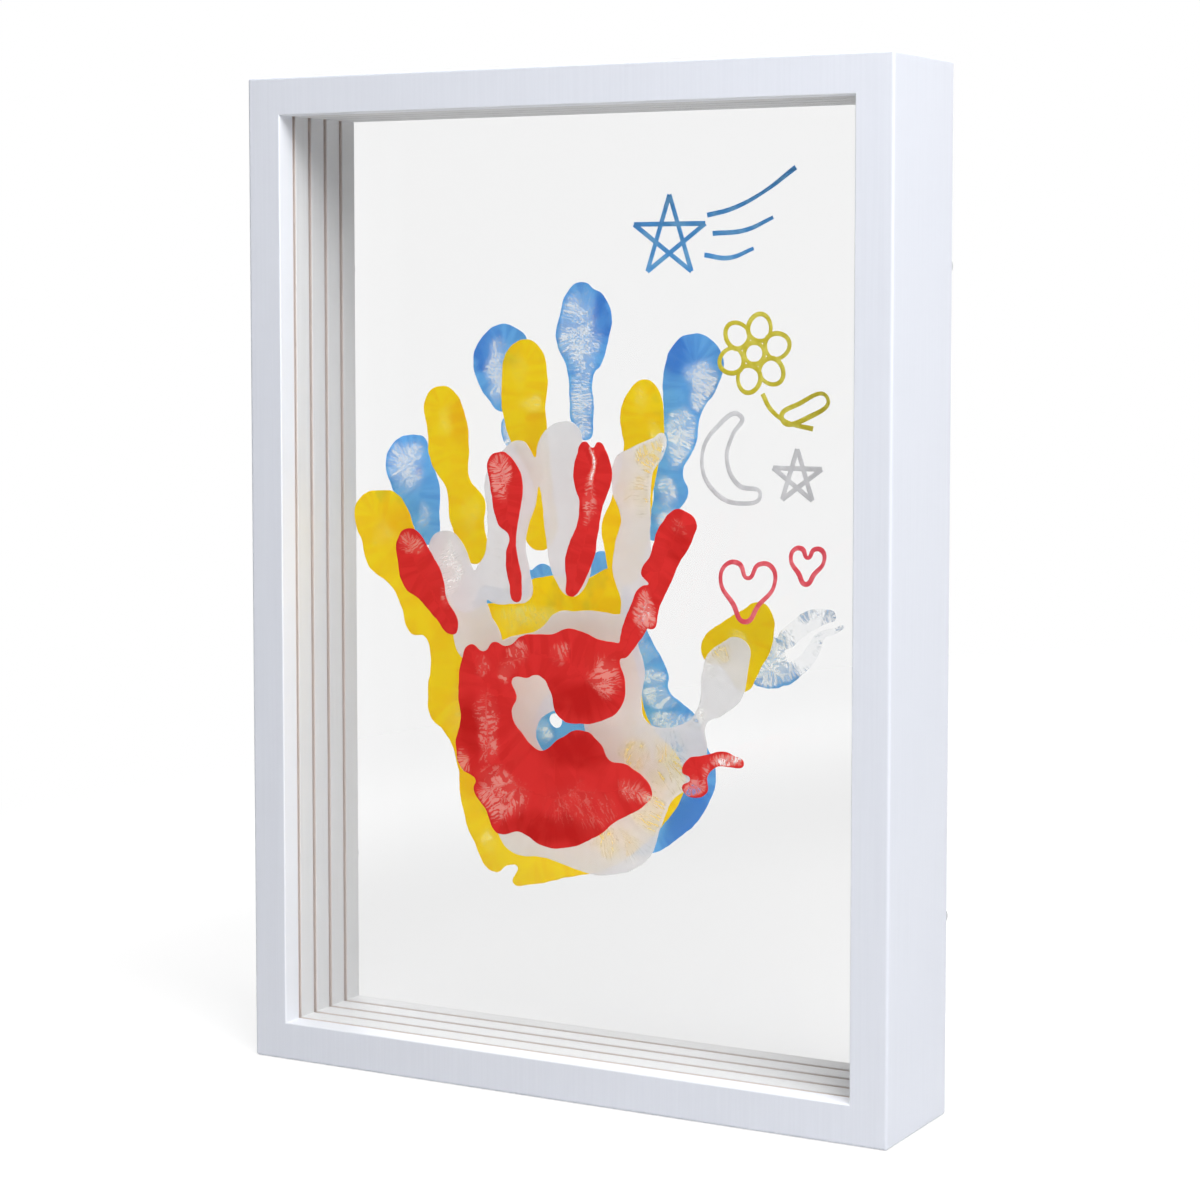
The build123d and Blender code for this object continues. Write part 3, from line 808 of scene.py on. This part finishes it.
def fern_lines(tree, place, depth, fineness, maze_share):
    """Lines square to the outline, which may turn into a maze further in, and broad soft streaks."""
    nearest = add(tree, "Attribute", attribute_name="rim_place").outputs["Vector"]
    bend = add(tree, "TexNoise", {"Vector": place, "Scale": BEND_SCALE, "Detail": 2.0}).outputs["Color"]
    bend = vector_step(tree, "SUBTRACT", bend, (0.5, 0.5, 0.5))
    bend = vector_step(tree, "MULTIPLY", bend, (BEND, BEND, BEND))
    inward = add(tree, "CombineXYZ", {"Y": sum_up(tree, "MULTIPLY", depth, INWARD_CHANGE)}).outputs[0]
    square = vector_step(tree, "ADD", nearest, inward)
    combs = soft_noise(tree, vector_step(tree, "ADD", square, bend), fineness, detail=0.0)
    maze = soft_noise(tree, place, fineness * MAZE_FINENESS, detail=1.0)
    lines = between(tree, ramp(tree, depth, MAZE_FROM, MAZE_FULL, 0.0, maze_share), combs, maze)
    return lines, soft_noise(tree, square, STREAK_SCALE, detail=4.0)


# %% [markdown]
# The recipe of each paint has four colours: where it lies thick, where it lies thickest (deep), where it
# is thin, and its mottle. Then come how much it covers, thick and thin, how pale a patch is between its
# lines (wash), how soft the lines' edges are, how fine they are, and how much of them turns into a maze.
# A film has a front and a back face, so each of them covers by the square root of what the whole should
# let through. The values in brackets are ramps: where one starts and ends, and often what it gives there.

# %% Poster paint
PAINT_KEYS = ("pull", "thick", "rim_depth", "behind")
CLOUDED = (0.30, 0.62, 0.65, 1.1)
RIM_SHARE = (0.0, 1.5 * MM, 0.4, 1.0)
RIM_GONE = (1.0, 1.2)
LINE_LEVELS = {"To Min": 0.66, "To Max": 0.44}
WASHED = (0.9, 1.6)
MOST_WASHED = 0.85
IN_PATCH = (0.05, 0.8)
STREAKED = (0.40, 0.64, 0.0, 0.4)
MOTTLED = (0.50, 0.68, 0.0, 0.4)
LEFT_OVER = (0.95, 1.5, 1.0, 0.12)
CHALKY = (0.50, 0.65)


def face_cover(cover):
    """What each of two faces covers, for both together to cover this much."""
    return 1 - math.sqrt(1 - cover)


def pulled_threads(tree, kept, lines, clouds, wash, soft):
    """How far the paint was pulled at a point, and how much of a pale line runs there."""
    zone = sum_up(tree, "MULTIPLY", kept["pull"], ramp(tree, clouds, *CLOUDED))
    rim = ramp(tree, kept["rim_depth"], *RIM_SHARE)
    rim = sum_up(tree, "MAXIMUM", rim, ramp(tree, kept["pull"], *RIM_GONE))
    zone = sum_up(tree, "MULTIPLY", zone, rim)
    level = add(tree, "MapRange", {"Value": zone, **LINE_LEVELS}).outputs["Result"]
    threads = ramp(tree, sum_up(tree, "SUBTRACT", lines, level), -soft, soft)
    return zone, sum_up(tree, "MAXIMUM", threads, ramp(tree, zone, *WASHED, wash, MOST_WASHED))


def poster_paint(name, thick, deep, thin, mottle, cover, thin_cover, wash, soft, fineness, maze_share):
    """Paint that is deep where it lies thick, and pale in ferns where it was pulled."""
    material, tree, shader, place = new_material(name)
    kept = {key: add(tree, "Attribute", attribute_name=key).outputs["Fac"] for key in PAINT_KEYS}
    lines, streaks = fern_lines(tree, place, kept["rim_depth"], fineness, maze_share)
    clouds = soft_noise(tree, place, scale=130.0, detail=4.0)
    broad = soft_noise(tree, place, scale=80.0, detail=4.0)
    zone, threads = pulled_threads(tree, kept, lines, clouds, wash, soft)
    pulled = sum_up(tree, "MULTIPLY", ramp(tree, zone, *IN_PATCH), threads)
    depth_of_paint = sum_up(tree, "ADD", kept["thick"], ramp(tree, streaks, *STREAKED))
    mottled = sum_up(tree, "MULTIPLY", kept["behind"], ramp(tree, broad, *MOTTLED))
    body = mix(tree, mottled, mix(tree, depth_of_paint, thick, deep), mottle)
    covered = ramp(tree, pulled, 0.0, 1.0, face_cover(cover), face_cover(thin_cover))
    gone = sum_up(tree, "MULTIPLY", zone, threads)
    left_over = ramp(tree, gone, *LEFT_OVER)
    plug_in(tree, shader, {
        "Base Color": mix(tree, pulled, body, thin),
        "Alpha": sum_up(tree, "MULTIPLY", covered, left_over),
        "Roughness": ramp(tree, clouds, NOISE_LOW, NOISE_HIGH, *CHALKY),
        "Specular IOR Level": 0.06,
        "Normal": relief(tree, clouds, strength=0.2, distance=1e-4),
    })
    return material


# %% Four colours
PAINTS = {
    "red": {
        "thick": (0.68, 0.028, 0.026, 1), "deep": (0.50, 0.011, 0.010, 1),
        "thin": (0.80, 0.25, 0.21, 1), "mottle": (0.62, 0.030, 0.024, 1),
        "cover": 0.998, "thin_cover": 0.93, "wash": 0.14,
        "soft": 0.05, "fineness": 2000.0, "maze_share": 0.3,
    },
    "white": {
        "thick": (0.75, 0.75, 0.755, 1), "deep": (0.71, 0.705, 0.71, 1),
        "thin": (0.76, 0.75, 0.70, 1), "mottle": (0.70, 0.685, 0.65, 1),
        "cover": 0.90, "thin_cover": 0.40, "wash": 0.50,
        "soft": 0.22, "fineness": 1600.0, "maze_share": 0.0,
    },
    "yellow": {
        "thick": (0.95, 0.71, 0.008, 1), "deep": (0.90, 0.50, 0.004, 1),
        "thin": (0.95, 0.82, 0.08, 1), "mottle": (0.50, 0.48, 0.035, 1),
        "cover": 0.995, "thin_cover": 0.88, "wash": 0.50,
        "soft": 0.12, "fineness": 1700.0, "maze_share": 0.5,
    },
    "blue": {
        "thick": (0.15, 0.53, 1.0, 1), "deep": (0.038, 0.26, 0.80, 1),
        "thin": (0.76, 0.87, 1.0, 1), "mottle": (0.15, 0.53, 1.0, 1),
        "cover": 0.97, "thin_cover": 0.72, "wash": 0.36,
        "soft": 0.06, "fineness": 1900.0, "maze_share": 0.7,
    },
}
for colour, recipe in PAINTS.items():
    films[colour][0].data.materials.append(poster_paint("poster_paint_" + colour, **recipe))
    print("poster paint on", films[colour][0].name)

# %% [markdown]
# ## Pen drawings
#
# Beside each print is a small drawing in paint marker: a shooting star, a flower, a moon with a star, or
# two hearts. A marker leaves a line about 1.5 mm wide, a bit fuller where the tip slows down. Each line
# is a Bezier curve with a round section, whose radius varies from point to point. Made a mesh and pressed
# flat, it becomes a low ridge of ink on the front of its sheet.

# %% Shapes to draw
ONE_TURN = 2 * math.pi
TOP = 0.25
LEAN = 0.08


def around(x, z, radius, count, turns=1):
    """Points on a circle in millimetres, from its top, that go round it the given number of times."""
    angles = [ONE_TURN * (TOP + turns * step / count) for step in range(count)]
    return [(x + radius * math.cos(angle), z + radius * math.sin(angle)) for angle in angles]


def petal(x, z, angle, near, far, half):
    """A closed line through three points, from the middle of the flower out and back."""
    along = (math.cos(angle), math.sin(angle))
    out = (x + far * along[0], z + far * along[1])
    first = (x + near * along[0] - half * along[1], z + near * along[1] + half * along[0])
    last = (x + near * along[0] + half * along[1], z + near * along[1] - half * along[0])
    return True, [first, out, last]


def star(x, z, radius):
    """Five open lines from tip to tip."""
    tips = around(x, z, radius, 5, turns=2)
    return [(False, [tip, following]) for tip, following in zip(tips, tips[1:] + tips[:1])]


def heart(x, z, size):
    """One closed line: up one side, down into the notch and round the other, with a slight lean."""
    half = [(0.45, -0.45), (0.95, 0.25), (0.80, 0.80), (0.35, 0.85)]
    side = [(x + size * (out + LEAN * up), z + size * up) for out, up in half]
    other = [(x + size * (LEAN * up - out), z + size * up) for out, up in reversed(half)]
    tip = (x - LEAN * size, z - size)
    notch = (x + 0.03 * size, z + 0.4 * size)
    return True, [tip, *side, notch, *other]


# %% Four drawings
PETALS = 6
FIRST_PETAL = 0.3

STAR = star(24, 285, 14) + [
    (False, [(38, 292), (47, 294), (58, 299), (70, 307)]),
    (False, [(40, 286), (52, 287), (62, 291)]),
    (False, [(37, 279), (46, 278), (55, 281)]),
]
FLOWER = [(True, around(60, 247, 3.5, 6))]
for step in range(PETALS):
    FLOWER.append(petal(60, 247, ONE_TURN * step / PETALS + FIRST_PETAL, near=6, far=13, half=3.5))
FLOWER += [
    (False, [(63, 234), (66, 229), (72, 225), (81, 223)]),
    (True, [(70, 226), (76, 231), (86, 233), (80, 227)]),
]
CRESCENT = [
    (60, 227), (51, 223), (46, 213), (50, 203), (60, 199), (67, 202), (59, 205), (55, 213), (57, 221),
]
MOON = [(True, CRESCENT)] + star(80, 208, 9)
HEARTS = [heart(67, 172, 10), heart(88, 181, 6)]
DRAWINGS = {
    "blue": ("pen_star", "pane_4", STAR),
    "yellow": ("pen_flower", "pane_3", FLOWER),
    "white": ("pen_moon", "pane_2", MOON),
    "red": ("pen_hearts", "pane_1", HEARTS),
}
print("pen lines:", {name: len(lines) for name, sheet, lines in DRAWINGS.values()})

# %% Strokes of the pen
HALF_LINE = 0.75 * MM
INK = 0.12 * MM
SWELL = 0.18
SWELL_STEP = 2.2
SWELL_START = 0.7


def draw_with_pen(colour):
    """Draws one small picture on the front of its sheet."""
    name, sheet, lines = DRAWINGS[colour]
    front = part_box(sheet)[0].y
    bpy.ops.object.select_all(action="DESELECT")
    bpy.ops.curve.primitive_bezier_curve_add()
    drawing = bpy.context.object
    drawing.name = name
    drawing.data.splines.clear()
    drawing.data.bevel_depth = HALF_LINE
    drawing.data.bevel_resolution = 3
    drawing.data.use_fill_caps = True
    for closed, points in lines:
        for step, knot in enumerate(smooth_line(drawing.data, points, closed)):
            knot.radius = 1.0 + SWELL * math.sin(SWELL_STEP * step + SWELL_START)
    stand_up(drawing, front - HALF_LINE)
    press_flat(drawing, INK / (2 * HALF_LINE), front - GAP_TO_SHEET)
    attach(drawing, "frame")
    print(drawing.name, len(drawing.data.polygons), "faces")
    return drawing


drawings = {colour: draw_with_pen(colour) for colour in DRAWINGS}

# %% [markdown]
# Marker ink is a little uneven: darker where it pooled, paler where the tip ran dry.

# %% Marker ink
INKS = {
    "blue": ((0.10, 0.42, 0.95, 1), (0.20, 0.55, 1.0, 1)),
    "yellow": ((0.66, 0.56, 0.030, 1), (0.78, 0.70, 0.10, 1)),
    "white": ((0.58, 0.58, 0.60, 1), (0.68, 0.68, 0.70, 1)),
    "red": ((0.66, 0.060, 0.085, 1), (0.76, 0.14, 0.17, 1)),
}
BLOTCHED = (0.40, 0.65)
INK_SHINE = (0.35, 0.55)


def marker_ink(name, full, dry):
    """Ink in soft blotches, with fine grain."""
    material, tree, shader, place = new_material(name)
    blotches = soft_noise(tree, place, scale=260.0, detail=3.0)
    grain = soft_noise(tree, place, scale=2200.0, detail=2.0)
    plug_in(tree, shader, {
        "Base Color": mix(tree, ramp(tree, blotches, *BLOTCHED), full, dry),
        "Roughness": ramp(tree, grain, NOISE_LOW, NOISE_HIGH, *INK_SHINE),
        "Normal": relief(tree, grain, strength=0.3, distance=3e-5),
    })
    return material


for colour, tones in INKS.items():
    drawings[colour].data.materials.clear()
    drawings[colour].data.materials.append(marker_ink("marker_ink_" + colour, *tones))
    print("ink on", drawings[colour].name)
